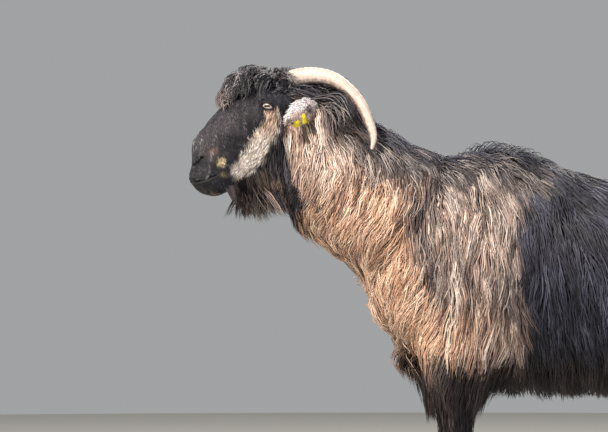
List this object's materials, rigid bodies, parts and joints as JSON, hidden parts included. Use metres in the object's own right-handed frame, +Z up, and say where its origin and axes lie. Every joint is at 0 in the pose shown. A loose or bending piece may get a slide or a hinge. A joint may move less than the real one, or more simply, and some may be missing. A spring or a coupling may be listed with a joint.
{
  "type": "goat",
  "caption": "Standing long-haired billy goat with swept-back horns, a beard, ear tags and a shaggy tan and black coat, as a still life-size model.",
  "frame": {"origin": "centre of the bounding box at floor level, between the feet", "axes": "-X is the way the goat faces, +Z up, and its left side is towards -Y"},
  "size_m": [1.2122, 0.3706, 0.9378],
  "materials": {
    "black_fur": "long black goat hair with a cool sheen",
    "tan_fur": "long tan hair streaked with dark brown and cream",
    "brown_fur": "short dark brown hair",
    "grey_fur": "short silver grey hair",
    "horn_sheath": "pale keratin with shallow growth rings",
    "hoof_horn": "dark keratin",
    "eye": "wet eye with a pale iris and a level slit pupil",
    "tag_plastic": "yellow moulded plastic"
  },
  "bodies": {
    "root": {"barrel": "black_fur", "ear_left": "grey_fur", "ear_right": "grey_fur", "ear_tag_1": "tag_plastic", "ear_tag_2": "tag_plastic", "eye_left": "eye", "eye_right": "eye", "head": "black_fur", "hoof_fore_left_inner": "hoof_horn", "hoof_fore_left_outer": "hoof_horn", "hoof_fore_right_inner": "hoof_horn", "hoof_fore_right_outer": "hoof_horn", "hoof_hind_left_inner": "hoof_horn", "hoof_hind_left_outer": "hoof_horn", "hoof_hind_right_inner": "hoof_horn", "hoof_hind_right_outer": "hoof_horn", "horn_left": "horn_sheath", "horn_right": "horn_sheath", "leg_fore_left_lower": "brown_fur", "leg_fore_left_upper": "black_fur", "leg_fore_right_lower": "brown_fur", "leg_fore_right_upper": "black_fur", "leg_hind_left_lower": "brown_fur", "leg_hind_left_upper": "black_fur", "leg_hind_right_lower": "brown_fur", "leg_hind_right_upper": "black_fur", "neck": "tan_fur", "rump": "black_fur", "shoulders": "tan_fur", "tail": "black_fur"}
  },
  "joints": []
}
